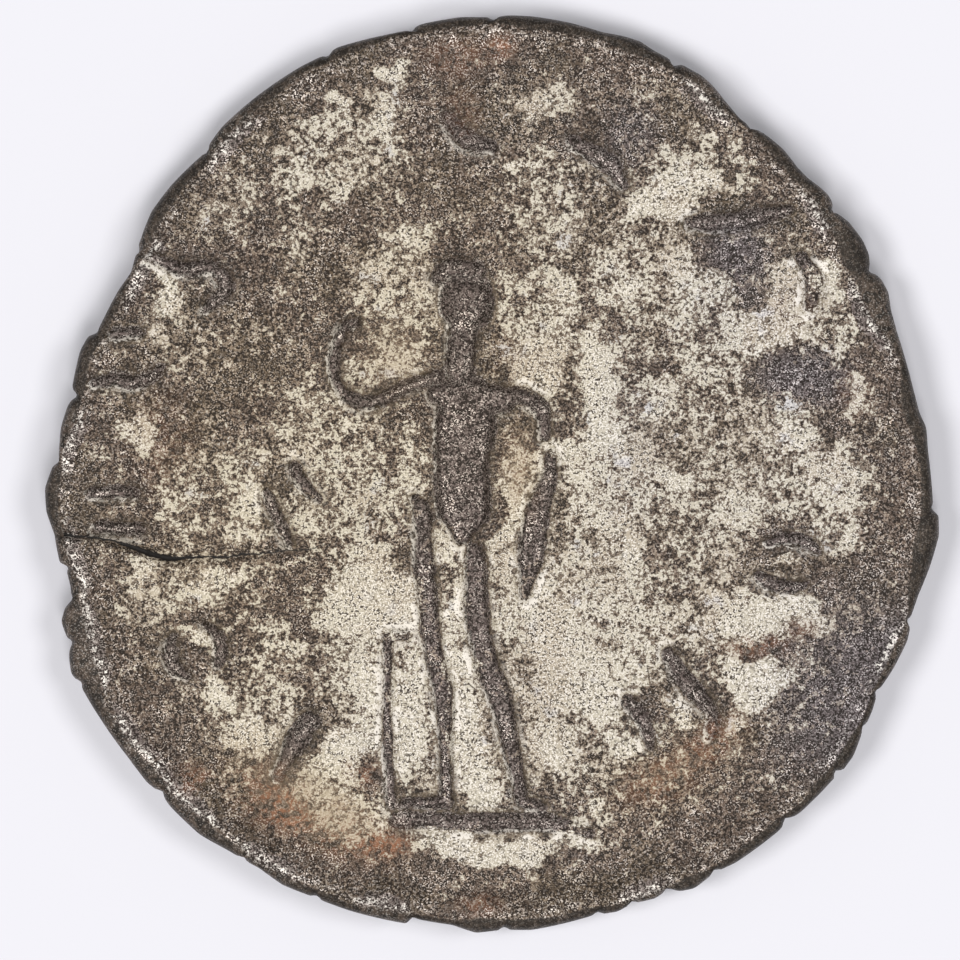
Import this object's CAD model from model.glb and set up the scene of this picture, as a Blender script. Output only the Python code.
"""A worn silver antoninianus that lies on its portrait side, with the standing figure up.

+Z is up and +Y points to the figure's head. The shapes are worked out in millimetres of the coin as
struck, and the finished mesh is fitted to the solid's own box, in metres. Each face is a field of
heights over a disc: every form of the relief gives its height at all places of the face at once.
Rings that follow a rounded section join the two faces round the edge.
"""

import logging
import math
from collections.abc import Callable
from dataclasses import dataclass, field
from enum import Enum

import bpy
import numpy as np
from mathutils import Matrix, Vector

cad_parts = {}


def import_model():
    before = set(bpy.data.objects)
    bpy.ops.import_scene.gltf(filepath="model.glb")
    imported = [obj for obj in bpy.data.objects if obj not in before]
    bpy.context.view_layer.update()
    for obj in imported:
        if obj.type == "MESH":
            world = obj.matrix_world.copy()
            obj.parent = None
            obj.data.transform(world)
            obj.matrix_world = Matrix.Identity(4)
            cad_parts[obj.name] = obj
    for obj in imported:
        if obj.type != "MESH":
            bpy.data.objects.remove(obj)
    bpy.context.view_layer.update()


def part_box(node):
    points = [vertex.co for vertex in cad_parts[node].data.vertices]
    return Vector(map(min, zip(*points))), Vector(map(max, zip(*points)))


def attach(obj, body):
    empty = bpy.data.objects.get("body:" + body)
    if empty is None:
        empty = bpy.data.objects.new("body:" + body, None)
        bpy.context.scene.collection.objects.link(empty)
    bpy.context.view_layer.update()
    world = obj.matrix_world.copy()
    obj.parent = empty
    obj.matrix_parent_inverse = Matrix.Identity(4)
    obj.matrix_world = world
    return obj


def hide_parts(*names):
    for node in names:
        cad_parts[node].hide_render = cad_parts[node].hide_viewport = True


LOG = logging.getLogger("coin")

Array = np.ndarray
Point = tuple[float, float]
Colour = tuple[float, float, float, float]

# The coin's thickness as struck, in millimetres, and a millimetre in metres.
STRUCK_THICKNESS = 1.72
MILLIMETRE = 0.001

# Patina patches are placed in steps of this many millimetres from the middle of the coin.
STEP = 0.24


class Section(Enum):
    """How the section across a raised line is shaped."""

    RIDGE = "ridge"
    GROOVE = "groove"


# Lines and forms.


def hump(distance: Array, half_width: float) -> Array:
    """A smooth hump: (1 - s * s) ** 2, where s is the distance as a share of the half-width.

    Args:
        distance: Distance from the hump's middle.
        half_width: Where the hump reaches nothing.

    Returns:
        One in the middle, nothing from the half-width on.
    """
    share = np.minimum(1.0, np.abs(distance) / half_width)
    return (1.0 - share * share) ** 2


def ease(low: float, high: float, value: Array) -> Array:
    """A smooth step: s * s * (3 - 2 * s), where s runs from 0 at low to 1 at high.

    Args:
        low: Where the step starts.
        high: Where the step ends.
        value: Values to ease.

    Returns:
        Values from 0 to 1.
    """
    share = np.clip((value - low) / (high - low), 0.0, 1.0)
    return share * share * (3.0 - 2.0 * share)


def turn_between(a: Array, b: float) -> Array:
    """The shorter way round between two turns, in degrees: ((a - b + 540) mod 360) - 180."""
    return (a - b + 540.0) % 360.0 - 180.0


def smooth_line(points: Array, spacing: float, closed: bool = False) -> Array:
    """A Catmull-Rom line: each stretch is a cubic whose ends keep half the step of their neighbours.

    Args:
        points: Places that the line goes through, one row each.
        spacing: Length of a step along the line.
        closed: Whether the line returns to its start.

    Returns:
        Places along the line, one row each.
    """
    before, after = 2 * points[:1] - points[1:2], 2 * points[-1:] - points[-2:-1]
    if closed:
        before, after = points[-1:], points[:2]
    knots = np.concatenate([before, points, after])
    length = np.linalg.norm(np.diff(knots[1:-1], axis=0), axis=1).sum()
    stretches = len(knots) - 3
    count = max(2 * stretches, round(length / spacing))
    place = np.linspace(0.0, stretches, count + 1)
    first = np.minimum(place.astype(int), stretches - 1)
    t = (place - first)[:, None]
    a, b, c, d = (knots[first + k] for k in range(4))
    return b + 0.5 * t * (c - a + t * (2 * a - 5 * b + 4 * c - d + t * (3 * (b - c) + d - a)))


def nearest_on(line: Array, x: Array, y: Array) -> tuple[Array, Array, Array]:
    """The nearest place on a line, from each stretch's foot of the perpendicular, kept inside it.

    Args:
        line: Places along the line, one row each.
        x: Places to measure from.
        y: Places to measure from.

    Returns:
        The distance, the place along the line from 0 to 1, and the side: 1 on the left, -1 on the right.
    """
    start, way = line[:-1], np.diff(line, axis=0)
    dx = x[:, None] - start[None, :, 0]
    dy = y[:, None] - start[None, :, 1]
    reach = (way * way).sum(axis=1)
    t = np.clip((dx * way[:, 0] + dy * way[:, 1]) / reach, 0.0, 1.0)
    apart = np.hypot(dx - t * way[:, 0], dy - t * way[:, 1])
    best = apart.argmin(axis=1)
    rows = np.arange(len(x))
    cross = way[best, 0] * dy[rows, best] - way[best, 1] * dx[rows, best]
    return apart[rows, best], (best + t[rows, best]) / len(way), np.where(cross >= 0, 1.0, -1.0)


class Form:
    """A form of the relief. Its bounds keep the sums to the places that it reaches, with a margin.
    The spacing is the length of a step along its line."""

    bounds: tuple[float, float, float, float]
    margin: float = 0.3
    spacing: float = 0.2

    def shape(self, x: Array, y: Array) -> tuple[Array, Array]:
        """The form's height and how far in from its foot a place is, for places near it."""
        raise NotImplementedError

    def measure(self, x: Array, y: Array) -> tuple[Array, Array]:
        """The form's height at every place, and how far in from its foot it is, below nothing
        outside. Past the margin the height is nothing and the distance is minus the margin.

        Args:
            x: Places across the face.
            y: Places up the face.

        Returns:
            Heights and distances in millimetres.
        """
        x0, x1, y0, y1 = self.bounds
        out = self.margin
        near = (x > x0 - out) & (x < x1 + out) & (y > y0 - out) & (y < y1 + out)
        height, inset = np.zeros_like(x), np.full_like(x, -out)
        if near.any():
            height[near], inset[near] = self.shape(x[near], y[near])
        return height, np.maximum(inset, -out)


class Stroke(Form):
    """A raised line. Its half-width runs evenly between the widths at its points."""

    def __init__(self, points: list[Point], widths: list[float], height: float, flat: float = 0.4,
                 section: Section = Section.RIDGE) -> None:
        """Smooths the line and takes its bounds.

        Args:
            points: Places that the line goes through.
            widths: Half-widths, at even steps along it.
            height: Height of its middle, or a groove's depth.
            flat: Share of its width that is level in the middle.
            section: Whether it is raised or cut.
        """
        self.line = smooth_line(np.array(points, float), self.spacing)
        self.widths = widths
        self.height = height
        self.flat = flat
        self.section = section
        reach = max(widths)
        low, high = self.line.min(axis=0) - reach, self.line.max(axis=0) + reach
        self.bounds = (low[0], high[0], low[1], high[1])

    def shape(self, x: Array, y: Array) -> tuple[Array, Array]:
        """Height across the line: with s from 0 at the foot to 1 where the flat middle starts, a
        ridge rises as s * (2 - s) and a groove sinks as much.

        Args:
            x: Places across the face.
            y: Places up the face.

        Returns:
            Heights, and distances in from the foot.
        """
        apart, along, _ = nearest_on(self.line, x, y)
        half = np.interp(along, np.linspace(0.0, 1.0, len(self.widths)), self.widths)
        share = np.clip((1.0 - apart / half) / (1.0 - self.flat), 0.0, 1.0)
        sign = -1.0 if self.section is Section.GROOVE else 1.0
        return sign * self.height * share * (2.0 - share), half - apart


class Dome(Form):
    """A rounded swelling on an oval base: height * (1 - a * a - b * b), a and b being shares of
    its two radii."""

    def __init__(self, middle: Point, radii: Point, height: float, turn: float = 0.0) -> None:
        """Keeps the oval's place and takes its bounds.

        Args:
            middle: The oval's middle.
            radii: Its two radii.
            height: Height of the middle.
            turn: Degrees that the first radius is turned from +X.
        """
        self.middle, self.radii, self.height = middle, radii, height
        self.turn = math.radians(turn)
        reach = max(radii)
        self.bounds = (middle[0] - reach, middle[0] + reach, middle[1] - reach, middle[1] + reach)

    def shape(self, x: Array, y: Array) -> tuple[Array, Array]:
        """The swelling's height, nothing outside its base.

        Args:
            x: Places across the face.
            y: Places up the face.

        Returns:
            Heights, and distances in from the foot.
        """
        c, s = math.cos(self.turn), math.sin(self.turn)
        dx, dy = x - self.middle[0], y - self.middle[1]
        reach = np.hypot((c * dx + s * dy) / self.radii[0], (c * dy - s * dx) / self.radii[1])
        return self.height * np.maximum(0.0, 1.0 - reach * reach), (1.0 - reach) * min(self.radii)


class Plate(Form):
    """A raised plate inside a closed smooth outline, rounded off over its edge's width."""

    spacing: float = 0.3

    def __init__(self, points: list[Point], height: float, edge: float) -> None:
        """Smooths the outline and takes its bounds.

        Args:
            points: Places round the outline.
            height: Height of the plate.
            edge: Width of its rounded edge.
        """
        self.line = smooth_line(np.array(points, float), self.spacing, closed=True)
        self.height, self.edge = height, edge
        low, high = self.line.min(axis=0), self.line.max(axis=0)
        self.bounds = (low[0], high[0], low[1], high[1])

    def shape(self, x: Array, y: Array) -> tuple[Array, Array]:
        """Height inside the outline. A place is inside where a ray to +X crosses the outline an odd
        number of times, and it rises as s * (2 - s), s being its distance in as a share of the edge.

        Args:
            x: Places across the face.
            y: Places up the face.

        Returns:
            Heights, and distances in from the foot.
        """
        a, b = self.line[:-1], self.line[1:]
        spans = (a[None, :, 1] > y[:, None]) != (b[None, :, 1] > y[:, None])
        rise = np.where(b[:, 1] == a[:, 1], 1.0, b[:, 1] - a[:, 1])
        crossing = a[:, 0] + (y[:, None] - a[:, 1]) / rise * (b[:, 0] - a[:, 0])
        inside = (spans & (x[:, None] < crossing)).sum(axis=1) % 2 == 1
        apart, _, _ = nearest_on(self.line, x, y)
        share = np.minimum(1.0, apart / self.edge)
        return np.where(inside, self.height * share * (2.0 - share), 0.0), np.where(inside, apart, -apart)


def highest(forms: list[Form], x: Array, y: Array) -> tuple[Array, Array]:
    """The highest of several forms at each place.

    Args:
        forms: Forms of the relief.
        x: Places across the face.
        y: Places up the face.

    Returns:
        Heights, and distances in from the nearest foot.
    """
    measured = [form.measure(x, y) for form in forms]
    height = np.maximum.reduce([np.zeros_like(x), *(height for height, _ in measured)])
    return height, np.maximum.reduce([inset for _, inset in measured])


def ripple(x: Array, y: Array, spacing: float, seed: int) -> Array:
    """Smooth random waves: steady random values on a square lattice, eased between its corners.

    Args:
        x: Places across the face.
        y: Places up the face.
        spacing: Distance between lattice corners.
        seed: Which set of random values.

    Returns:
        Values from -1 to 1.
    """
    size = 256
    values = np.random.default_rng(seed).uniform(-1.0, 1.0, (size, size))
    u, v = x / spacing, y / spacing
    i, j = np.floor(u).astype(int), np.floor(v).astype(int)
    s, t = ease(0.0, 1.0, u - i), ease(0.0, 1.0, v - j)
    i0, i1, j0, j1 = i % size, (i + 1) % size, j % size, (j + 1) % size
    low = values[i0, j0] * (1 - s) + values[i1, j0] * s
    high = values[i0, j1] * (1 - s) + values[i1, j1] * s
    return low * (1 - t) + high * t


# The flan.


@dataclass(frozen=True)
class Flan:
    """The hammered disc: its outline, its shoulders, its fields and its sloping edge. Turns are
    degrees from +X towards +Y, heights are millimetres and radii are tenths of a step."""

    radius: float = 10.8
    obverse_field: float = 0.36
    reverse_field: float = 1.46
    dish: float = 0.05
    obverse_slope: float = 0.34
    crease_depth: float = 0.12
    crease_width: float = 0.16
    rim_ease: float = 0.35
    shoulder_ease: float = 1.5
    under_ease: float = 4.0
    least_rubbing: float = 0.3
    # The outline between its notches: turn and radius.
    rim: tuple[tuple[float, float], ...] = (
        (0, 440), (3, 438), (6, 438), (8, 433), (11, 431), (15, 430), (19, 430), (22, 432), (24.5, 437),
        (26.5, 436), (28, 431), (28.6, 432), (30, 437), (32, 439), (35, 437.5), (37.4, 432), (38, 435),
        (39.5, 437.5), (41, 436), (43, 433), (45, 433), (48, 436.5), (51, 436), (53.5, 433), (55, 433),
        (58, 440), (60, 446), (62, 450), (65, 451), (66, 448), (66.6, 451), (69, 453), (71, 457), (73, 457),
        (76, 455), (80, 457.5), (85, 459), (88, 458.5), (89.8, 456), (94, 457.5), (99, 455), (100.5, 451),
        (104, 451.5), (110, 453.5), (111.5, 451), (115, 450), (122, 445), (128, 440), (131, 434),
        (132, 431), (138, 432), (142.5, 430.5), (145, 426), (147.5, 421), (151, 414), (154, 417),
        (158, 419), (160, 420.5), (161.5, 428), (163.5, 431), (168.5, 430), (169.5, 425.5), (171, 431),
        (174, 435), (178.2, 435), (179.2, 441), (182, 449), (185, 449), (188, 443.5), (192, 443),
        (192.4, 438), (195, 438), (196.5, 440), (197.3, 448), (199, 457.5), (201, 457.5), (201.8, 456),
        (203.5, 463), (205.5, 468), (207, 465), (212, 464), (218, 463.5), (222, 465), (224, 462),
        (226, 465), (231, 466.5), (235, 462), (239.5, 460), (243, 463.5), (247, 461.5), (252, 461.5),
        (259.3, 460), (260, 453.5), (265, 455), (268, 461.5), (271.4, 458), (275, 460), (283, 455),
        (286, 457.5), (288, 454), (291, 457), (293, 453), (294.2, 460), (296, 463.5), (299.2, 458.5),
        (302, 461), (309, 460), (310.3, 456.5), (312, 460), (318.6, 460), (319, 457), (319.6, 461.5),
        (322, 460.5), (325, 453.5), (328, 450), (330.4, 445), (334, 448), (338, 449.5), (340, 447),
        (340.3, 444), (344, 445), (348, 449.5), (352, 453), (354.6, 450), (355.5, 444), (360, 440),
    )
    # The shoulder where the struck reverse face ends: turn and radius.
    brow: tuple[tuple[float, float], ...] = (
        (0, 428), (5, 423), (8, 414), (12, 420), (18, 421), (21, 412), (26, 409), (31, 409), (34, 417),
        (40, 421), (46, 423), (52, 427), (58, 431), (62, 438), (70, 443), (80, 445), (92, 448), (100, 445),
        (110, 443), (115, 440), (125, 431), (130, 425), (137, 419), (145, 413), (150, 408), (155, 408),
        (160, 412), (165, 416), (170, 417), (175, 425), (180, 432), (185, 437), (190, 431), (195, 430),
        (200, 434), (206, 441), (210, 451), (225, 452), (245, 454), (250, 452), (265, 447), (280, 447),
        (295, 451), (310, 450), (320, 449), (326, 443), (335, 438), (342, 439), (347, 430), (350, 426),
        (353, 429), (357, 433), (360, 428),
    )
    # Where the shoulder is rubbed most: turn and half-width.
    rubs: tuple[tuple[float, float], ...] = (
        (192, 8), (203, 9), (216, 7), (226, 8), (240, 6), (256, 5), (22, 8), (38, 5), (337, 6), (60, 6),
        (290, 5), (128, 6), (150, 8), (176, 6),
    )
    # Where the folded metal of the edge meets: turn and slant of the crease.
    folds: tuple[tuple[float, float], ...] = (
        (28, 2), (37.5, 2), (53, 1), (66, -1.5), (89.8, 1), (100.5, -2), (111.5, 1), (131.5, 2), (148, -2),
        (160.5, 2), (169.5, 1), (178.4, 2), (192.4, 1), (196.8, 2), (202, -1), (207, 1), (224, 1), (237, 2),
        (247.5, -1), (260, -2), (271.5, 1), (283.5, 1), (288, 1), (293, -2), (299.2, 1), (310.3, -1),
        (319, 1), (325.5, 2), (330.4, -1), (340.3, 1), (355.3, -2),
    )

    @staticmethod
    def _through(knots: tuple[tuple[float, float], ...], turn: Array) -> Array:
        """Millimetres of radius, straight between the knots."""
        turns, radii = zip(*knots)
        return np.interp(turn, turns, radii) * STEP / 10.0

    def _eased(self, knots: tuple[tuple[float, float], ...], turn: Array, reach: float) -> Array:
        """The mean radius over a few degrees to both sides."""
        shifts = np.linspace(-reach, reach, 9)
        return sum(self._through(knots, (turn + shift) % 360.0) for shift in shifts) / len(shifts)

    def outline(self, turn: Array) -> Array:
        """The outline's radius, its lobes a little rounded and its notches sharp."""
        return self._eased(self.rim, turn, self.rim_ease)

    def shoulder(self, turn: Array) -> Array:
        """The radius where the struck reverse face ends and the edge slopes down."""
        wander = 0.03 * np.sin(np.radians(29 * turn)) + 0.02 * np.sin(np.radians(53 * turn + 60))
        drawn = self._eased(self.brow, turn, self.shoulder_ease) + wander
        return np.minimum(drawn, self.outline(turn) - 0.1)

    def obverse_shoulder(self, turn: Array) -> Array:
        """The radius where the struck obverse face ends."""
        drawn = self._eased(self.rim, turn, self.under_ease) - self.obverse_slope
        return np.minimum(drawn, self.outline(turn) - 0.12)

    def rubbing(self, turn: Array) -> Array:
        """How far the shoulder is rubbed bright round the rim: humps at the places that wore most."""
        rubbed = np.maximum.reduce([hump(turn_between(turn, at), width) for at, width in self.rubs])
        return self.least_rubbing + (1.0 - self.least_rubbing) * rubbed

    def crease(self, turn: Array, out: Array) -> Array:
        """How far a place on the edge is from the nearest crease, round the edge, in millimetres. A
        crease slants as it runs in from its notch.

        Args:
            turn: Turns of places on the edge.
            out: Where they are from the shoulder, 0, to the outline, 1.

        Returns:
            Signed distances.
        """
        apart = np.stack([turn_between(turn, at + slant * (1.0 - out)) for at, slant in self.folds])
        nearest = np.take_along_axis(apart, np.abs(apart).argmin(axis=0)[None], axis=0)[0]
        return np.radians(nearest) * self.radius


# The two faces.


@dataclass(frozen=True)
class Reverse:
    """The standing figure, its ground line, the worn marks round it, the rim and the flan crack.
    Heights are in millimetres above the field."""

    flan: Flan
    # The middle of the ground line, in shares of the mean radius.
    figure_foot: Point = (-0.049, -0.751)
    figure_height: float = 13.25
    torso_height: float = 0.34
    limb_height: float = 0.2
    cloak_height: float = 0.17
    ground_height: float = 0.12
    mark_width: float = 0.34
    mark_height: float = 0.17
    swell_height: float = 0.07
    rim_width: float = 0.55
    rim_height: float = 0.09
    bead_height: float = 0.07
    bead_count: int = 72
    crack_width: float = 0.15
    crack_depth: float = 0.24
    crack_lip: float = 0.06
    # How far, beside the crack and over what half-width the metal has sunk.
    sunk: tuple[float, float, float] = (0.07, 0.2, 0.5)
    # Waves of the field: size, spacing and seed.
    unevenness: tuple[tuple[float, float, int], ...] = ((0.014, 1.1, 3), (0.012, 0.4, 4), (0.008, 0.2, 5))
    # The last part of the thickness, where the highest places are worn soft.
    crest: float = 0.03
    # Places along the crack, and the shares of its greatest width there.
    crack_widths: tuple[tuple[float, ...], ...] = (
        (0, 0.08, 0.2, 0.27, 0.36, 0.44, 0.5, 0.6, 0.75, 0.9, 1.0),
        (0.7, 0.4, 0.25, 0.6, 1.0, 0.8, 0.35, 0.25, 0.2, 0.14, 0.0),
    )

    def on_figure(self, point: Point) -> Point:
        """A joint, given as shares of the figure's height from the middle of its ground line."""
        x, y = self.on_die(self.figure_foot)
        return (x + point[0] * self.figure_height, y + point[1] * self.figure_height)

    def on_die(self, point: Point) -> Point:
        """A place given as shares of the mean radius."""
        return (point[0] * self.flan.radius, point[1] * self.flan.radius)

    def limb(self, points: list[Point], widths: list[float], height: float, flat: float = 0.62,
             section: Section = Section.RIDGE) -> Stroke:
        """A stroke through joints of the figure, its half-widths in shares of the figure's height."""
        places = [self.on_figure(point) for point in points]
        return Stroke(places, [width * self.figure_height for width in widths], height, flat, section)

    def figure(self) -> list[Form]:
        """The figure stands nude, one arm raised, with a cloak over the other arm.

        Returns:
            Its head, torso, limbs and cloak.
        """
        head_radii = (0.052 * self.figure_height, 0.06 * self.figure_height)
        arm = [(-0.06, 0.786), (-0.125, 0.763), (-0.185, 0.737), (-0.234, 0.761),
               (-0.248, 0.812), (-0.23, 0.873), (-0.205, 0.882)]
        leg = [(-0.09, 0.55), (-0.083, 0.457), (-0.078, 0.384), (-0.067, 0.294),
               (-0.049, 0.212), (-0.045, 0.13), (-0.043, 0.036)]
        return [
            Dome(self.on_figure((-0.006, 0.922)), head_radii, self.torso_height),
            self.limb([(-0.062, 0.963), (-0.034, 0.982), (0.016, 0.978)], [0.012, 0.02, 0.014],
                      self.limb_height),
            self.limb([(-0.014, 0.87), (-0.018, 0.8)], [0.028, 0.026], self.limb_height),
            self.limb([(-0.005, 0.737), (-0.009, 0.692), (-0.0145, 0.628), (-0.012, 0.55), (-0.012, 0.525),
                       (-0.014, 0.5)], [0.052, 0.058, 0.05, 0.05, 0.044, 0.02], self.torso_height, 0.5),
            self.limb([(-0.055, 0.757), (0, 0.746), (0.058, 0.744)], [0.022, 0.028, 0.026],
                      self.torso_height, 0.5),
            self.limb(arm, [0.013, 0.011, 0.014, 0.011, 0.01, 0.01, 0.008], self.limb_height),
            self.limb([(0.054, 0.746), (0.094, 0.752), (0.129, 0.725), (0.134, 0.679)],
                      [0.016, 0.015, 0.015, 0.013], self.limb_height),
            self.limb([(0.147, 0.641), (0.143, 0.601), (0.12, 0.538), (0.11, 0.457), (0.098, 0.388)],
                      [0.011, 0.014, 0.023, 0.024, 0.009], self.cloak_height),
            self.limb([(-0.1, 0.563), (-0.078, 0.532)], [0.01, 0.012], self.cloak_height),
            self.limb(leg, [0.015, 0.019, 0.019, 0.017, 0.02, 0.011, 0.012], self.limb_height),
            self.limb([(0.009, 0.466), (0.011, 0.366), (0.027, 0.275), (0.054, 0.203), (0.071, 0.13),
                       (0.092, 0.027)], [0.02, 0.023, 0.022, 0.022, 0.016, 0.014], self.limb_height),
            self.limb([(-0.042, 0.016), (-0.123, 0.011)], [0.013, 0.009], self.limb_height),
            self.limb([(0.094, 0.016), (0.129, 0.007)], [0.013, 0.01], self.limb_height),
        ]

    def folds(self) -> list[Form]:
        """Fine worn details cut into the figure: cloak folds, the body's middle and hip lines, hair
        and the plain features of a small head, at even thirds of the face.

        Returns:
            The grooves.
        """
        groove = Section.GROOVE
        lines = [
            ([(0.14, 0.62), (0.128, 0.55), (0.118, 0.46), (0.104, 0.4)], 0.0045, 0.045),
            ([(0.152, 0.61), (0.136, 0.53), (0.124, 0.45)], 0.004, 0.035),
            ([(-0.04, 0.768), (0.0, 0.752), (0.05, 0.756)], 0.004, 0.035),
            ([(-0.05, 0.748), (0.0, 0.734), (0.06, 0.732)], 0.004, 0.03),
            ([(-0.012, 0.7), (-0.016, 0.64), (-0.013, 0.57)], 0.005, 0.03),
            ([(-0.05, 0.55), (-0.012, 0.505), (0.03, 0.552)], 0.005, 0.03),
            ([(-0.024, 0.712), (0.004, 0.69), (0.032, 0.681), (0.056, 0.692)], 0.005, 0.045),
            ([(-0.03, 0.93), (-0.014, 0.928)], 0.004, 0.03),
            ([(0.006, 0.928), (0.022, 0.93)], 0.004, 0.03),
            ([(-0.014, 0.892), (0.004, 0.892)], 0.0035, 0.02),
            ([(-0.05, 0.895), (-0.036, 0.877), (-0.006, 0.866), (0.022, 0.88)], 0.0045, 0.04),
            ([(-0.05, 0.952), (-0.008, 0.962), (0.034, 0.95)], 0.005, 0.04),
        ]
        return [self.limb(points, [width, width], depth, 0.1, groove) for points, width, depth in lines]

    def ground(self) -> list[Form]:
        """The ground line, and the slender upright beside the figure."""
        return [
            self.limb([(-0.134, -0.015), (0, -0.022), (0.136, -0.022), (0.217, -0.042)],
                      [0.015, 0.017, 0.016, 0.009], self.ground_height),
            self.limb([(-0.15, 0.308), (-0.15, 0.149), (-0.143, 0.004)], [0.009, 0.009, 0.01],
                      self.ground_height),
            self.limb([(-0.154, 0.317), (-0.118, 0.317)], [0.008, 0.008], self.ground_height),
        ]

    def marks(self) -> list[Form]:
        """Bent strokes, bars and pairs of crescents in the inscription's place, which spell nothing.
        Places are shares of the mean radius.

        Returns:
            The strokes, the bars and the crescents.
        """
        strokes = [
            ([(-0.76, 0.478), (-0.69, 0.453), (-0.62, 0.455), (-0.591, 0.41), (-0.636, 0.364)],
             [0.7, 1, 1, 1.1, 0.7]),
            ([(-0.885, 0.2), (-0.838, 0.205), (-0.782, 0.2), (-0.736, 0.232)], [0.8, 1, 1, 0.6]),
            ([(-0.844, 0.305), (-0.782, 0.311)], [0.8, 0.8]),
            ([(-0.886, -0.045), (-0.795, -0.044)], [1, 0.9]),
            ([(-0.876, -0.122), (-0.785, -0.126)], [0.9, 1]),
            ([(-0.44, 0.012), (-0.418, -0.03), (-0.388, -0.06)], [0.8, 1.1, 0.6]),
            ([(-0.502, -0.042), (-0.487, -0.08), (-0.452, -0.158)], [0.6, 0.9, 0.7]),
            ([(-0.406, -0.552), (-0.438, -0.602), (-0.478, -0.674)], [1.5, 1.6, 0.9]),
            ([(0.391, -0.402), (0.44, -0.476), (0.489, -0.529), (0.487, -0.585)], [0.9, 1.3, 1, 0.7]),
            ([(0.302, -0.509), (0.336, -0.551), (0.35, -0.606)], [1, 1.1, 0.8]),
            ([(0.44, 0.553), (0.55, 0.56), (0.66, 0.582)], [1.1, 1.5, 0.8]),
            ([(0.69, 0.474), (0.716, 0.43), (0.708, 0.37)], [1.1, 1.5, 1.0]),
            ([(-0.1, 0.79), (-0.062, 0.744), (0.0, 0.722)], [0.9, 1.3, 0.9]),
            ([(0.18, 0.735), (0.262, 0.685), (0.289, 0.64)], [1, 1.4, 0.8]),
        ]
        half = self.mark_width / 2
        forms: list[Form] = [
            Stroke([self.on_die(p) for p in points], [half * w for w in widths], self.mark_height, 0.45)
            for points, widths in strokes
        ]
        for middle, radii, lean, reach in (((-0.66, -0.396), (0.057, 0.06), 20, 52),
                                           ((0.656, -0.202), (0.075, 0.054), 75, 48)):
            for facing in (lean, lean + 180):
                angles = np.radians(facing + reach * np.array([-1, -0.5, 0, 0.5, 1]))
                arc = [self.on_die((middle[0] + radii[0] * math.cos(a), middle[1] + radii[1] * math.sin(a)))
                       for a in angles]
                forms.append(Stroke(arc, [half * w for w in (0.55, 1, 1, 1, 0.55)], self.mark_height, 0.45))
        return forms

    def swellings(self) -> list[Form]:
        """Low swellings left by marks that are quite worn away."""
        places = (((0.696, 0.191), (0.09, 0.075), -20), ((-0.045, 0.79), (0.075, 0.1), 0))
        return [Dome(self.on_die(middle), self.on_die(radii), self.swell_height, turn)
                for middle, radii, turn in places]

    def crack_line(self) -> Array:
        """The flan crack's middle line, from the edge inwards."""
        points = [(-0.985, -0.13), (-0.95, -0.138), (-0.9, -0.144), (-0.85, -0.15), (-0.81, -0.162),
                  (-0.77, -0.177), (-0.73, -0.189), (-0.69, -0.19), (-0.65, -0.186), (-0.6, -0.189),
                  (-0.55, -0.181), (-0.5, -0.178), (-0.45, -0.172), (-0.42, -0.173), (-0.37, -0.16),
                  (-0.32, -0.164)]
        return smooth_line(np.array([self.on_die(point) for point in points]), 0.15)

    def crack(self, x: Array, y: Array) -> tuple[Array, Array]:
        """Where the crack is: it is widest near the edge and tapers out before the figure.

        Args:
            x: Places across the face.
            y: Places up the face.

        Returns:
            The signed distance from the crack's middle line, and its half-width there.
        """
        apart, along, side = nearest_on(self.crack_line(), x, y)
        shares = np.interp(along, *self.crack_widths)
        return apart * side, shares * self.crack_width / 2

    def rim(self, x: Array, y: Array, turn: Array) -> Array:
        """The raised rim: a ridge a quarter of its width in from the shoulder, with worn beads on
        the lower left, where cos(count * angle) is above nothing.

        Args:
            x: Places across the face.
            y: Places up the face.
            turn: Their turns.

        Returns:
            Heights in millimetres.
        """
        inside = (self.flan.shoulder(turn) - np.hypot(x, y)) / self.rim_width
        ridge = self.rim_height * np.maximum(0.0, 1.0 - np.abs(inside - 0.25))
        beaded = hump(turn_between(turn, 248.0), 30.0)
        bead = np.maximum(0.0, np.cos(np.radians(self.bead_count * turn))) * hump(inside - 0.7, 0.6)
        return ridge * (1.0 + 0.35 * np.sin(np.radians(23 * turn))) + self.bead_height * bead * beaded

    def heights(self, x: Array, y: Array, turn: Array) -> tuple[Array, Array]:
        """The face's heights, and how far in from the foot of the relief each place is, which tells
        the patina where metal is worn.

        Args:
            x: Places across the face.
            y: Places up the face.
            turn: Their turns.

        Returns:
            Heights above the coin's rest plane, and distances in from the foot of the relief.
        """
        raised, inset = highest([*self.figure(), *self.ground()], x, y)
        strokes, mark_inset = highest(self.marks(), x, y)
        swells, _ = highest(self.swellings(), x, y)
        cuts = sum(form.measure(x, y)[0] for form in self.folds())
        relief = np.maximum(raised + cuts * (raised > 0.05), strokes + swells)
        field_level = self.flan.reverse_field + self.flan.dish * (np.hypot(x, y) / self.flan.radius) ** 2
        uneven = sum(size * ripple(x, y, spacing, seed) for size, spacing, seed in self.unevenness)
        apart, half = self.crack(x, y)
        open_share = np.clip(1.0 - np.abs(apart) / (half + self.crack_lip), 0.0, 1.0)
        groove = self.crack_depth * open_share * ease(0.0, 0.03, half)
        depth, beside, width = self.sunk
        sunk = depth * hump(apart - beside, width) * ease(0.012, 0.05, half)
        level = field_level + self.rim(x, y, turn) + relief + uneven
        top, soft = STRUCK_THICKNESS, self.crest
        level = np.where(level > top - soft, top - soft * np.exp(-(level - top + soft) / soft), level)
        return level - groove - sunk, np.maximum(inset, mark_inset)


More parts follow.
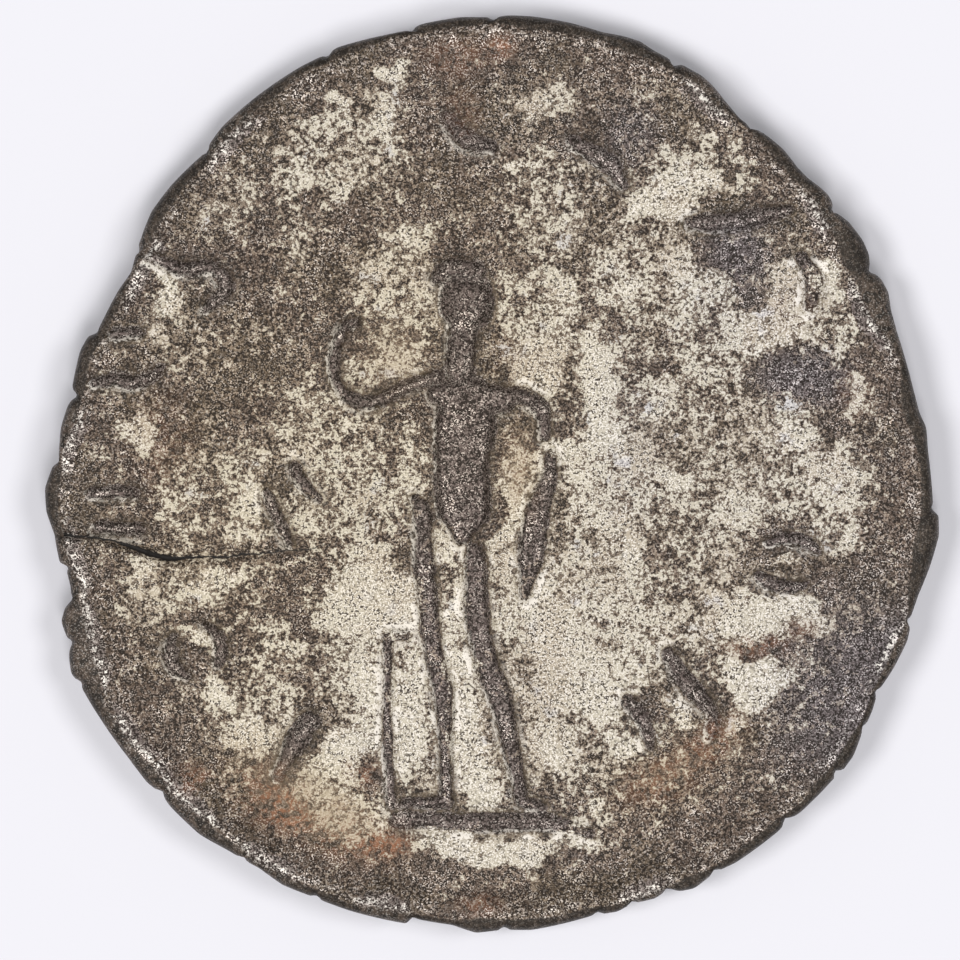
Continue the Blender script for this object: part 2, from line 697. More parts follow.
@dataclass(frozen=True)
class Obverse:
    """The radiate bust on the side that the coin rests on, with short strokes and a border of beads.
    Its profile, features and strokes are this model's own. Heights are in millimetres."""

    flan: Flan
    bust_height: float = 17.2
    bust_relief: float = 0.22
    bust_edge: float = 0.3
    head_relief: float = 0.2
    lock_relief: float = 0.07
    fold_relief: float = 0.11
    crown_relief: float = 0.24
    stroke_width: float = 0.42
    stroke_length: float = 1.35
    stroke_relief: float = 0.16
    legend_radius: float = 8.45
    bead_count: int = 64
    bead_width: float = 0.62
    bead_height: float = 0.37

    def on_bust(self, point: Point) -> Point:
        """A place in shares of the bust's height. The view from below swaps left and right."""
        return (-point[0] * self.bust_height, point[1] * self.bust_height)

    def line(self, points: list[Point], widths: list[float], height: float, flat: float = 0.3) -> Stroke:
        """A stroke on the bust, its half-widths in shares of the bust's height."""
        places = [self.on_bust(point) for point in points]
        return Stroke(places, [width * self.bust_height for width in widths], height, flat)

    def swelling(self, middle: Point, radii: Point, height: float) -> Dome:
        """A swelling on the bust, its radii in shares of the bust's height."""
        return Dome(self.on_bust(middle), (radii[0] * self.bust_height, radii[1] * self.bust_height), height)

    def silhouette(self) -> Plate:
        """The bust's plain plate: brow, nose, lips and chin at even thirds of the face, throat,
        shoulders and nape.

        Returns:
            The plate.
        """
        points = [
            (0.105, 0.275), (0.127, 0.225), (0.126, 0.178), (0.166, 0.11), (0.141, 0.09), (0.147, 0.071),
            (0.137, 0.059), (0.143, 0.045), (0.13, 0.031), (0.137, 0.004), (0.108, -0.016), (0.045, -0.01),
            (0.036, -0.06), (0.056, -0.115), (0.13, -0.16), (0.225, -0.21), (0.268, -0.29), (0.25, -0.385),
            (0.12, -0.44), (-0.11, -0.45), (-0.255, -0.395), (-0.28, -0.29), (-0.235, -0.195),
            (-0.15, -0.145), (-0.112, -0.09), (-0.118, -0.02), (-0.16, 0.07), (-0.18, 0.17),
            (-0.14, 0.262), (-0.03, 0.325), (0.06, 0.315),
        ]
        return Plate([self.on_bust(point) for point in points], self.bust_relief, self.bust_edge)

    def bases(self) -> list[Form]:
        """What stands on the field, with short strokes that point at the middle.

        Returns:
            The plate, the crown's spikes, the two ribbons and the strokes.
        """
        forms: list[Form] = [self.silhouette()]
        for i, x in enumerate((-0.125, -0.07, -0.015, 0.04, 0.09)):
            foot = (x, 0.3 - 2.2 * (x - 0.02) ** 2)
            tip = (x + (i - 1.8) * 0.024, foot[1] + 0.12)
            forms.append(self.line([foot, tip], [0.022, 0.007], self.crown_relief, 0.25))
        for drop in (0.0, 0.05):
            ribbon = [(-0.17, 0.19 - drop), (-0.215, 0.15 - drop), (-0.215, 0.08 - drop),
                      (-0.25, 0.02 - drop)]
            forms.append(self.line(ribbon, [0.011, 0.012, 0.012, 0.009], self.stroke_relief))
        turns = [t for turn in (*range(26, 67, 10), *range(-34, 20, 10)) for t in (turn, 180 - turn)]
        for turn in turns:
            way = math.radians(turn)
            radii = [self.legend_radius + side * self.stroke_length / 2 for side in (-1, 1)]
            points = [(radius * math.cos(way), radius * math.sin(way)) for radius in radii]
            forms.append(Stroke(points, [self.stroke_width / 2] * 2, self.stroke_relief, 0.25))
        return forms

    def details(self) -> list[Form]:
        """What stands above the plate.

        Returns:
            The rounded head, cheek, eye, ear, locks, band, collar and folds.
        """
        forms: list[Form] = [
            self.line([(-0.168, 0.205), (-0.04, 0.262), (0.112, 0.262)], [0.012, 0.013, 0.012],
                      self.lock_relief),
            self.swelling((-0.01, 0.15), (0.15, 0.15), self.head_relief),
            self.swelling((0.075, 0.075), (0.05, 0.07), self.head_relief / 2),
            self.line([(0.088, 0.168), (0.115, 0.162)], [0.008, 0.006], self.lock_relief, 0.2),
            self.swelling((-0.012, 0.13), (0.02, 0.032), self.head_relief + self.lock_relief),
            self.line([(-0.15, -0.155), (-0.03, -0.2), (0.09, -0.15)], [0.01, 0.013, 0.01], self.fold_relief),
        ]
        for i, y in enumerate((0.025, 0.07, 0.115, 0.16)):
            lock = [(-0.045 - 0.004 * i, y + 0.015), (-0.095, y - 0.005), (-0.145, y + 0.02)]
            forms.append(self.line(lock, [0.009, 0.011, 0.008], self.lock_relief, 0.2))
        for x in (-0.19, -0.1, -0.01, 0.09, 0.17):
            fold = [(x - 0.05, -0.2 - 0.35 * abs(x)), (x + 0.01, -0.29 - 0.15 * abs(x)),
                    (x + 0.015, -0.4 + 0.1 * abs(x))]
            forms.append(self.line(fold, [0.012, 0.018, 0.012], self.fold_relief))
        return forms

    def heights(self, x: Array, y: Array, turn: Array) -> tuple[Array, Array]:
        """The face's heights, up from the rest plane, and the distances in from the relief's foot.

        Args:
            x: Places across the face.
            y: Places up the face.
            turn: Their turns.

        Returns:
            Heights above the coin's rest plane, and distances in from the foot of the relief.
        """
        inside = (self.flan.obverse_shoulder(turn) - np.hypot(x, y)) / self.bead_width
        bead = 0.62 + 0.38 * np.cos(np.radians(self.bead_count * turn))
        border = self.bead_height * bead * hump(inside - 0.75, 0.85)
        base, inset = highest(self.bases(), x, y)
        relief = np.maximum(base + highest(self.details(), x, y)[0], border)
        dish = self.flan.dish * (np.hypot(x, y) / self.flan.radius) ** 2
        uneven = 0.008 * ripple(x, y, 0.8, 7)
        return np.maximum(0.0, self.flan.obverse_field - dish - relief - uneven), inset


# Patina.


@dataclass(frozen=True)
class Patina:
    """Where the pale silver layer still lies on the dark metal. A patch is an oval: its middle and
    radii in steps of 0.24 mm, its turn in degrees, and the share that the pale layer covers in its
    middle. Later patches lie over earlier ones."""

    bare: float = 0.22
    areas: tuple[tuple[float, ...], ...] = (
        (20, -2, 24, 27, 0, 0.44), (0, -22, 16, 18, 0, 0.52), (-24, -24, 12, 10, 0, 0.3),
        (25.8, 5.4, 14, 20, 0, 0.51), (20.8, 19.4, 13, 8, 0, 0.54), (20.8, 27.4, 9, 8, 0, 0.46),
        (12.8, -1.6, 7, 9, 0, 0.62), (3.8, 17.4, 6, 6, 0, 0.54), (6.8, 23.4, 8, 8, 0, 0.46),
        (6.8, 29.4, 6, 5, 0, 0.44), (-14.2, 33.4, 10, 8, 0, 0.52), (-26.7, 27.4, 5, 6, 0, 0.42),
        (-9.2, 17.4, 7, 8, 0, 0.52), (-16.2, 0.4, 9, 12, 0, 0.58), (-31, 14.4, 6, 5, 0, 0.44),
        (-28, -1.6, 7, 6, 0, 0.5), (-30, -11.6, 9, 6, 0, 0.5), (-23, -22.6, 5, 9, 0, 0.45),
        (20, -14, 9, 4, 0, 0.62), (10.8, -17.6, 11, 15, 0, 0.67), (-11.2, -18.6, 8, 9, 0, 0.6),
    )
    patches: tuple[tuple[float, ...], ...] = (
        (-10.7, 40.2, 3.6, 1.2, 0, 0.85), (-15.4, 37.4, 1.8, 1.6, 0, 0.75),
        (-10.9, 35.6, 2, 3.4, 0, 0.75), (-20, 29.6, 1.5, 3.8, 8, 0.6), (-15.6, 28.6, 1.6, 1.6, 0, 0.72),
        (-8, 23.6, 3.6, 2.2, 30, 0.62), (-9.7, 17.4, 4.2, 4.8, 0, 0.53), (-26.7, 27.4, 3.4, 4, 0, 0.42),
        (-24, 30.6, 1.6, 1.6, 0, 0.46), (-22, 34.4, 1.8, 1.2, 0, 0.48), (-19.2, 24.4, 2, 4.2, 0, 0.42),
        (-33.2, 18.4, 1.9, 2.5, 0, 0.88), (-33.7, 14.6, 1.8, 1.1, 0, 0.6),
        (-30.2, 13.4, 4.4, 3.4, 0, 0.42), (-39.2, 9.4, 1.4, 1.2, 0, 0.42),
        (-18.2, 11.2, 1.6, 1.6, 0, 0.5), (-17.7, 5.9, 4.8, 4, 0, 0.52), (-36.4, 3.9, 2.7, 3, 0, 0.72),
        (-15.2, -1.6, 3.2, 6.6, 0, 0.52), (-14, 12.2, 1.5, 1.8, 0, 0.55),
        (-28.7, -2.6, 5.4, 5, 0, 0.42), (-25.2, 1.9, 2.4, 2.2, 0, 0.45),
        (-24.6, -2.8, 2.2, 2.2, 0, 0.76), (-25.2, -5.1, 3.6, 1.6, 0, 0.62),
        (-31.7, -4.1, 2.4, 4.6, 0, 0.5), (-27.7, 18.9, 4.2, 5, 0, 0.1),
        (-16.2, 21.2, 2.2, 2.6, 0, 0.08), (-14.7, 14.9, 2, 2.2, 0, 0.1), (-30.2, 5.4, 1.8, 2.6, 0, 0.1),
        (-20.2, -0.1, 3.2, 1.6, 0, 0.08), (-37.2, 10.9, 4.2, 1.2, 0, 0), (-41.7, 4.4, 1.8, 3.6, 0, 0),
        (-3.7, 19.9, 4.2, 4, 0, 0.05), (-1.2, 13.9, 1.5, 3, 0, 0.1), (-4.2, 35.4, 6, 7.4, 0, 0.05),
        (5.3, 36.9, 4.6, 3, 0, 0.55), (4.5, 36.6, 1.4, 1.8, 0, 0.74), (3.8, 31.2, 2.4, 1.2, 0, 0.74),
        (4.8, 40.2, 2, 1.2, 0, 0.42), (9.5, 40.4, 1.4, 1, 0, 0.42), (10, 32.9, 4, 3, 0, 0.06),
        (15.8, 34.4, 1.6, 2.5, 0, 0.1), (16.3, 38.9, 2.2, 1.4, 0, 0.35), (10.6, 31.2, 1.3, 1.3, 0, 0.4),
        (18.3, 28.4, 5.4, 4.6, 0, 0.78), (15.8, 26.2, 2.3, 2.3, 0, 0.96), (20.8, 29.6, 2, 1.4, 0, 0.88),
        (22.3, 33.9, 3.6, 3, 0, 0.5), (25.3, 30.9, 2.2, 3.4, 0, 0.5), (24.1, 30.2, 1, 1.1, 0, 0.15),
        (25.8, 25.9, 7, 2.6, 0, 0.08), (29.5, 26.4, 1.4, 1.6, 0, 0.42), (27.3, 22.9, 1.5, 1.3, 0, 0.46),
        (20.8, 19.4, 3.6, 4, 0, 0.66), (26.3, 18.9, 2.6, 3.4, 0, 0.12), (32, 19.4, 4.4, 4.4, 0, 0.76),
        (33, 19.9, 1.4, 2, 0, 0.88), (27.8, 14.8, 6.4, 3.4, 0, 0.78), (35.8, 15.4, 1.8, 4.8, 0, 0.55),
        (37, 8.4, 1.9, 3.4, 0, 0.96), (12.8, 21.4, 3, 4.6, 0, 0.55), (9.1, 21.2, 1.4, 1.4, 0, 0.1),
        (7.8, 18.6, 1.9, 1.5, 0, 0.96), (10.8, 9.4, 2.7, 8.2, 2, 0.98), (7.3, 1.9, 2.3, 3.1, 0, 0.96),
        (10.8, 3.4, 2.8, 2.6, 0, 0.94), (5.3, 8.9, 2.8, 2, 0, 0.76), (12.8, 18.4, 2, 2.5, 0, 0.76),
        (17.3, 7.4, 5.2, 1.5, 52, 0.66), (18.3, 10.9, 1.4, 1.4, 0, 0.28),
        (21.6, 14.9, 1.8, 1.5, 0, 0.33), (31.3, 9.6, 7.2, 3.7, -8, 0), (34.8, 4.9, 2.5, 1.8, 0, 0.1),
        (29.8, 4.2, 3, 2.3, 0, 0.78), (34.3, -0.6, 4, 5, 0, 0.78), (35.6, -6.1, 1.3, 2.5, 0, 0.76),
        (18, -0.3, 2.3, 1.5, 0, 0.96), (24.8, -3.6, 2.7, 2.5, 0, 0.72), (10.8, -3.6, 1.1, 1.6, 0, 0.92),
        (10.8, -6.3, 1.8, 1.3, 0, 0.92), (13, -7.9, 1.6, 1.6, 0, 0.92), (28.8, -8.1, 4.8, 4.8, 0, 0.13),
        (35.8, -10.4, 7, 4, 0, 0.14), (29.6, -8.7, 2.2, 1.6, 0, 0.78), (18, -11.4, 2.5, 2.3, 0, 0.28),
        (16.3, -8.6, 1.8, 1.5, 0, 0.33), (27.8, -14.4, 7, 2.4, 0, 0.94),
        (26.4, -20.5, 5.2, 3.5, 0, 0.98), (24.1, -25.4, 1.5, 2.8, -25, 0.82),
        (19, -24.3, 2.1, 2.3, 0, 0.88), (14.8, -22.6, 2.8, 2.3, 0, 0.06),
        (18.8, -19.4, 2, 2.7, 0, 0.06), (20.8, -27, 1.8, 1.8, 0, 0.1), (7.8, -20.6, 4.8, 4.2, 0, 0.86),
        (11.3, -24.6, 2.3, 1.8, 0, 0.94), (5.8, -27.6, 4, 4, 0, 0.8), (5.6, -27.8, 2.8, 1.8, 0, 0.96),
        (4.8, -14.6, 3.6, 1.8, -45, 0.96), (2.8, -12.6, 3.4, 4.8, 0, 0.76),
        (13.8, -27.9, 3.2, 1.5, 15, 0.92), (11.1, -33.8, 2, 2.5, 0, 0.7),
        (9.8, -29.6, 3.4, 4.6, 0, 0.45), (16.8, -31.6, 3, 2, 0, 0.42),
        (27.3, -31.6, 3.6, 2.2, 30, 0.35), (-12.2, -12.1, 5.6, 5.6, 0, 0.97),
        (-17.2, -14.4, 3, 2, 0, 0.82), (-9.2, -13.6, 2.7, 3.8, 0, 0.88), (-11.7, -21.6, 2.2, 4, 0, 0.9),
        (-8, -25.1, 2.6, 7.4, 0, 0.97), (-14.7, -27.8, 5.8, 3.4, 30, 0.94),
        (-16.2, -31.6, 4.8, 3.6, 0, 0.68), (-13.2, -34.6, 6, 2.3, 0, 0.6),
        (-3.7, -12.6, 1.7, 8.6, 0, 0.78), (-2.7, -19.6, 1.8, 3, 0, 0.9),
        (-2.2, -26.1, 2.9, 5.4, 0, 0.98), (-1, -31.1, 3.9, 3, 0, 0.98), (-2.2, -37.1, 6, 2, 0, 0.98),
        (4.3, -37.1, 2.3, 2, 0, 0.98), (8.8, -36.6, 2.8, 1.3, 0, 0.88), (-5.5, -6.6, 1.4, 3.6, 0, 0.72),
        (-8.7, -0.6, 2, 8.2, 0, 0.6), (1.5, -4.6, 1.2, 6.6, 0, 0.88), (3.3, -0.1, 2.2, 4.5, 0, 0.64),
        (-28.7, -17.1, 2.2, 1.8, 0, 0.88), (-27.7, -22.6, 1.8, 1.9, 0, 0.94),
        (-24.7, -26.1, 3.2, 2.7, 0, 0.84), (-25.2, -30.1, 2.2, 2.2, 0, 0.46),
        (-21.5, -22.6, 1.2, 2.7, 0, 0.62), (-23, -19.6, 2.2, 1.9, 0, 0.55),
        (-34.4, -13.8, 4.6, 3.6, 0, 0.5), (-27.4, -10.8, 3, 2.3, 0, 0.84),
        (-34.4, -10.4, 2.2, 2.7, 0, 0.72), (-22.7, -9.8, 2, 1.8, 0, 0.5),
        (-22.4, -16.1, 2, 1.9, 0, 0.5), (-20, -18.3, 1.8, 1.5, 0, 0.7), (7.6, -2.6, 2.2, 5.4, 0, 0.72),
        (-12.2, -17.6, 4, 2, 0, 0.66), (6.2, -17.6, 3.2, 5, 0, 0.84), (1, -37.4, 8, 1.6, 0, 1),
        (24.6, 22.2, 4.4, 3.6, 0, 0.08), (6.6, 14, 2.4, 5.4, 0, 0.72), (27.6, -17.5, 3.6, 1.1, 10, 0),
        (3.2, 10.6, 3.6, 3.4, 0, 0.7), (-10, 11.3, 5, 2.8, 0, 0.64), (-29.7, -14.8, 3.2, 1.5, 0, 0.08),
        (-31.2, -19.4, 3, 1.5, 0, 0.12), (-19.2, -25.6, 2, 2, 0, 0.08),
    )
    # Thin rust-brown stains, placed as the patches are.
    rust: tuple[tuple[float, ...], ...] = (
        (-22, -32.4, 8, 5, -32, 0.45), (-14, -36.4, 8, 4.4, -14, 0.45), (-20.6, -34, 4, 2.6, -30, 0.8),
        (-10.7, -37.2, 4, 2, 0, 0.8), (-30, -30.6, 2.6, 2.4, 0, 0.5), (-13, -30, 3, 2.4, 0, 0.5),
        (0.8, 42.6, 2.4, 2, 0, 0.6), (-3.6, 41.4, 5, 3, 0, 0.4), (-3, 36, 3, 4, 0, 0.25),
        (22, -26.8, 6, 3, 36, 0.5), (16.8, -30.8, 7, 3.2, 20, 0.45), (-1.2, -43.2, 3.4, 1.8, 0, 0.5),
        (2.8, 0, 3, 7, 0, 0.25), (2, 11, 3, 4, 0, 0.12), (-10, 11.5, 5, 5, 0, 0.12),
        (26.4, -17.4, 5, 1.8, 0, 0.5), (-33, 3, 5, 8, 0, 0.2), (30, 16, 4, 4, 0, 0.15),
        (31, -15.4, 3, 2, 0, 0.3), (36.4, 8, 2.4, 4, 0, 0.25),
    )
    # Where the whole surface is browner or cooler: ovals, from 1 for warm to -1 for cool.
    tints: tuple[tuple[float, ...], ...] = (
        (-8, 10, 26, 34, 0, 0.55), (-26, -6, 20, 36, 0, 0.6), (32, 4, 20, 30, 0, -0.25),
        (36, -22, 14, 17, -30, -0.9), (24, 18, 9, 10, 0, -0.5), (-18, -33, 16, 7, -30, 1),
        (18, -30, 13, 6, 32, 0.7), (31.3, 9.6, 7.6, 4.6, 0, -0.9), (24.6, 22.2, 5, 5, 0, -0.8),
        (14, 34, 5, 6, 0, -0.6), (2.8, 0, 4, 9, 0, 0.85), (-10, 12, 6, 7, 0, 0.8),
        (14, 4, 6, 14, 0, -0.4), (4, -42, 14, 4, 0, 0.3),
    )

    @staticmethod
    def layer(base: Array, ovals: tuple[tuple[float, ...], ...], x: Array, y: Array, inner: float) -> Array:
        """Lays ovals over a field: value + (level - value) * s, s easing from 1 at the inner share
        of the oval's radii to 0 at its rim.

        Args:
            base: The field to lay them on.
            ovals: Ovals, in steps.
            x: Places in millimetres.
            y: Places in millimetres.
            inner: The share of the radii where the oval is whole.

        Returns:
            The field with the ovals on it.
        """
        value = base
        for mx, my, rx, ry, turn, level in ovals:
            c, s = math.cos(math.radians(turn)), math.sin(math.radians(turn))
            dx, dy = x / STEP - mx, y / STEP - my
            reach = np.hypot((c * dx + s * dy) / rx, (c * dy - s * dx) / ry)
            value = value + (level - value) * (1.0 - ease(inner, 1.0, reach))
        return value

    def cover(self, x: Array, y: Array) -> Array:
        """The share of the surface that the pale layer covers, less towards the rim. The patches'
        places are led astray by waves, which makes their edges ragged.

        Args:
            x: Places in millimetres.
            y: Places in millimetres.

        Returns:
            Shares from 0 to 1.
        """
        wide = self.layer(np.full_like(x, self.bare), self.areas, x, y, 0.4)
        rim = ease(38.5, 42.0, np.hypot(x, y) / STEP)
        astray_x = x + 0.3 * ripple(x, y, 0.9, 21) + 0.2 * ripple(x, y, 0.35, 22)
        astray_y = y + 0.3 * ripple(x, y, 0.9, 23) + 0.2 * ripple(x, y, 0.35, 24)
        return self.layer(wide * (1.0 - 0.6 * rim), self.patches, astray_x, astray_y, 0.4)

    def stains(self, x: Array, y: Array) -> Array:
        """How rusty each place is."""
        return self.layer(np.zeros_like(x), self.rust, x, y, 0.1)

    def warmth(self, x: Array, y: Array) -> Array:
        """How warm or cool each place is."""
        return self.layer(np.zeros_like(x), self.tints, x, y, 0.1)


# The finish.


class Wire:
    """A socket of a material's nodes. Arithmetic on it adds Math nodes."""

    def __init__(self, tree: bpy.types.NodeTree, socket: bpy.types.NodeSocket) -> None:
        """Keeps the tree and the socket."""
        self.tree = tree
        self.socket = socket

    @staticmethod
    def add(tree: bpy.types.NodeTree, kind: str, settings: dict, values: dict,
            output: str | int = 0) -> "Wire":
        """Adds a node, sets it up and links it.

        Args:
            tree: The material's node tree.
            kind: The node's type.
            settings: Its properties, set first.
            values: Numbers, colours or wires for its inputs, by name or place.
            output: The output to return.

        Returns:
            The wire from that output.
        """
        node = tree.nodes.new(kind)
        for name, value in settings.items():
            setattr(node, name, value)
        for name, value in values.items():
            if isinstance(value, Wire):
                tree.links.new(value.socket, node.inputs[name])
            else:
                node.inputs[name].default_value = value
        return Wire(tree, node.outputs[output])

    def math(self, operation: str, *values: "Wire | float") -> "Wire":
        """A Math node of these values."""
        return Wire.add(self.tree, "ShaderNodeMath", {"operation": operation}, dict(enumerate(values)))

    def __add__(self, other: "Wire | float") -> "Wire":
        """The sum."""
        return self.math("ADD", self, other)

    __radd__ = __add__

    def __sub__(self, other: "Wire | float") -> "Wire":
        """The difference."""
        return self.math("SUBTRACT", self, other)

    def __rsub__(self, other: float) -> "Wire":
        """The difference the other way round."""
        return self.math("SUBTRACT", other, self)

    def __mul__(self, other: "Wire | float") -> "Wire":
        """The product."""
        return self.math("MULTIPLY", self, other)

    __rmul__ = __mul__

    def __abs__(self) -> "Wire":
        """The size without the sign."""
        return self.math("ABSOLUTE", self)

    def most(self, other: "Wire | float") -> "Wire":
        """The larger of the two."""
        return self.math("MAXIMUM", self, other)

    def step(self, low: "Wire | float", high: "Wire | float") -> "Wire":
        """A smooth step from 0 at low to 1 at high."""
        values = {"Value": self, "From Min": low, "From Max": high}
        return Wire.add(self.tree, "ShaderNodeMapRange", {"interpolation_type": "SMOOTHSTEP"}, values)


def paint(red: int, green: int, blue: int) -> Colour:
    """A surface colour from how it looks, 0 to 255, beside paper that looks 245. Each channel is
    ((v / 255 + 0.055) / 1.055) ** 2.4, dimmed to the paper's share of white.

    Args:
        red: Red as seen.
        green: Green as seen.
        blue: Blue as seen.

    Returns:
        Linear red, green and blue with full alpha.
    """
    dimming = 0.9
    channels = [dimming * ((value / 255 + 0.055) / 1.055) ** 2.4 for value in (red, green, blue)]
    return (channels[0], channels[1], channels[2], 1.0)


@dataclass(frozen=True)
class TonedSilver:
    """Worn debased silver: a dark grey-brown ground with fine bright grains, a pale granular layer
    that survives in ragged patches, dirt in the hollows and thin rust stains. Scales are waves to
    the millimetre and the bump's depth is in millimetres."""

    soil: Colour = paint(38, 32, 27)
    purple: Colour = paint(112, 102, 100)
    slate: Colour = paint(104, 96, 95)
    pit: Colour = paint(62, 54, 46)
    brown: Colour = paint(107, 93, 82)
    shade: Colour = paint(84, 74, 62)
    olive: Colour = paint(103, 91, 76)
    glint: Colour = paint(212, 205, 198)
    film: Colour = paint(164, 150, 134)
    bank: Colour = paint(148, 135, 113)
    sand: Colour = paint(178, 164, 144)
    cream: Colour = paint(207, 202, 185)
    frost: Colour = paint(192, 193, 198)
    bright: Colour = paint(250, 247, 238)
    rust: Colour = paint(149, 108, 84)
    edge_dark: Colour = paint(40, 35, 30)
    edge_pale: Colour = paint(80, 70, 61)
    gap: Colour = (0.012, 0.01, 0.009, 1.0)
    warm: Colour = (1.05, 0.975, 0.86, 1.0)
    cool: Colour = (0.96, 0.96, 1.05, 1.0)
    cloud_scale: float = 0.55
    broad_scale: float = 1.4
    drift_scale: float = 1.5
    fleck_scale: float = 3.4
    flake_scale: float = 5.0
    seam_scale: float = 8.0
    grain_scale: float = 13.0
    dust_scale: float = 26.0
    roughness: float = 0.62
    metallic: float = 0.55
    specular: float = 0.3
    bump_depth: float = 0.04

    def material(self) -> bpy.types.Material:
        """The finished material, which reads Object coordinates and the coin's own values."""
        material = bpy.data.materials.new("toned_silver")
        material.use_nodes = True
        material.node_tree.nodes.clear()
        Weathering(material.node_tree, self).finish()
        return material


class Weathering:
    """The finish's layers, laid over each other in nodes. A layer's edges come from smooth steps
    over noise, and a step's two numbers are where it starts and where it is whole."""

    def __init__(self, tree: bpy.types.NodeTree, tones: TonedSilver) -> None:
        """Lays out what the layers share: noises, the coin's own values, wear and the pale layer's
        place.

        Args:
            tree: The material's node tree.
            tones: The finish's colours and sizes.
        """
        self.tree, self.tones = tree, tones
        coordinates = self.add("ShaderNodeTexCoord", {}, {}, "Object")
        scaling = {0: coordinates, "Scale": 1 / MILLIMETRE}
        self.place = self.add("ShaderNodeVectorMath", {"operation": "SCALE"}, scaling)
        self.cloud = self.noise(tones.cloud_scale, 3.0, 0.6)
        self.broad = self.noise(tones.broad_scale, 4.0, 0.6, 0.4)
        self.drift = self.noise(tones.drift_scale, 3.0, 0.55)
        self.flake = self.noise(tones.flake_scale, 3.0, 0.6, 0.6)
        self.grain = self.noise(tones.grain_scale, 3.0, 0.62)
        self.dust = self.noise(tones.dust_scale, 1.0, 0.5)
        self.cover, self.hollow = self.attribute("cover"), self.attribute("hollow")
        self.rubbed, self.warmth = self.attribute("rubbed"), self.attribute("warmth")
        self.slope = self.attribute("beyond").step(-0.04, 0.05)
        self.ragged = self.ragged_inset()
        self.worn = self.worn_metal()
        lift = self.lift()
        self.film = lift.step(-0.05, 0.006)
        self.layer = lift.step(0.01, 0.018)

    def add(self, kind: str, settings: dict, values: dict, output: str | int = 0) -> Wire:
        """A node of this material."""
        return Wire.add(self.tree, kind, settings, values, output)

    def attribute(self, name: str) -> Wire:
        """One of the mesh's own values."""
        return self.add("ShaderNodeAttribute", {"attribute_name": name}, {}, "Fac")

    def noise(self, scale: float, detail: float, roughness: float, distortion: float = 0.0) -> Wire:
        """Fractal noise.

        Args:
            scale: Waves to the millimetre.
            detail: How many finer waves are laid over it.
            roughness: How strong each of them is beside the last.
            distortion: How far the pattern is bent.

        Returns:
            Values about a half.
        """
        values = {"Vector": self.place, "Scale": scale, "Detail": detail, "Roughness": roughness,
                  "Distortion": distortion}
        return self.add("ShaderNodeTexNoise", {"noise_dimensions": "3D"}, values)

    def mix(self, share: "Wire | float", a: "Wire | Colour", b: "Wire | Colour") -> Wire:
        """A colour between two colours."""
        return self.add("ShaderNodeMix", {"data_type": "RGBA"}, {0: share, 6: a, 7: b}, 2)

    def ragged_inset(self) -> Wire:
        """How far in from the relief's foot a place is, made ragged."""
        inset = self.attribute("inset")
        return inset + (self.broad - 0.5) * 0.3 + (self.flake - 0.5) * 0.3 + (self.grain - 0.5) * 0.1

    def worn_metal(self) -> Wire:
        """Where the metal is worn bare: on the relief and where the shoulder is rubbed."""
        shoulder = (self.rubbed + (self.flake - 0.5) * 1.6).step(0.3, 0.6)
        return self.ragged.step(-0.04, 0.04).most(shoulder)

    def lift(self) -> Wire:
        """How surely the pale layer lies at a place: noise, moved by the share that it covers there,
        lowered on worn metal and raised in scattered flecks."""
        texture = self.broad * 0.24 + self.flake * 0.42 + self.grain * 0.34
        fleck = self.noise(self.tones.fleck_scale, 2.0, 0.6).step(0.56, 0.66)
        return (texture - 0.5 - (0.5 - self.cover) * 0.24 - self.worn * 0.1
                + fleck * (1.0 - self.worn) * 0.05)

    def sparkle(self) -> Wire:
        """Bright grains of bare metal, in clusters."""
        cluster = self.flake.step(0.44, 0.6) * 0.7 + 0.3
        spread = self.drift.step(0.4, 0.6) * 0.5 + 0.5
        return (self.dust + self.rubbed * 0.05).step(0.55, 0.6) * cluster * spread

    def dark_metal(self, sparkle: Wire) -> Wire:
        """The dark ground: brown and olive, cooler where it is worn, with soil in its grain.

        Args:
            sparkle: Where its bright grains are.

        Returns:
            Its colour.
        """
        mix, tones = self.mix, self.tones
        ground = mix(self.cloud.step(0.45, 0.62), tones.brown, tones.olive)
        ground = mix(self.worn * 0.85, ground, tones.purple)
        ground = mix(self.warmth.step(-0.1, -0.8) * 0.85, ground, tones.slate)
        ground = mix(self.flake.step(0.54, 0.38) * 0.35, ground, tones.soil)
        ground = mix(self.grain.step(0.53, 0.46) * 0.9, ground, tones.soil)
        return mix(sparkle, ground, tones.glint)

    def pale_layer(self) -> Wire:
        """The pale layer: cream, sand and frosty places, with pits, dark seams and bright grains."""
        mix, tones = self.mix, self.tones
        pale = mix(self.cloud.step(0.5, 0.62) * 0.6, tones.cream, tones.sand)
        pale = mix(self.drift.step(0.6, 0.7) * 0.7, pale, tones.frost)
        pale = mix(self.flake.step(0.52, 0.4) * 0.5, pale, tones.sand)
        pale = mix(self.cover.step(0.75, 1.0) * 0.6, pale, tones.cream)
        pitted = self.broad.step(0.38, 0.6) * 0.6 + 0.4
        pale = mix(self.grain.step(0.48, 0.42) * pitted, pale, tones.pit)
        wave = abs(self.noise(tones.seam_scale, 2.0, 0.6, 0.8) - 0.5)
        seam = wave.step(0.03, 0.004) * self.flake.step(0.56, 0.44)
        pale = mix(seam * 0.85, pale, tones.pit)
        bright = self.dust.step(0.53, 0.6) * (self.cover.step(0.3, 1.0) * 0.6 + 0.4)
        return mix(bright, pale, tones.bright)

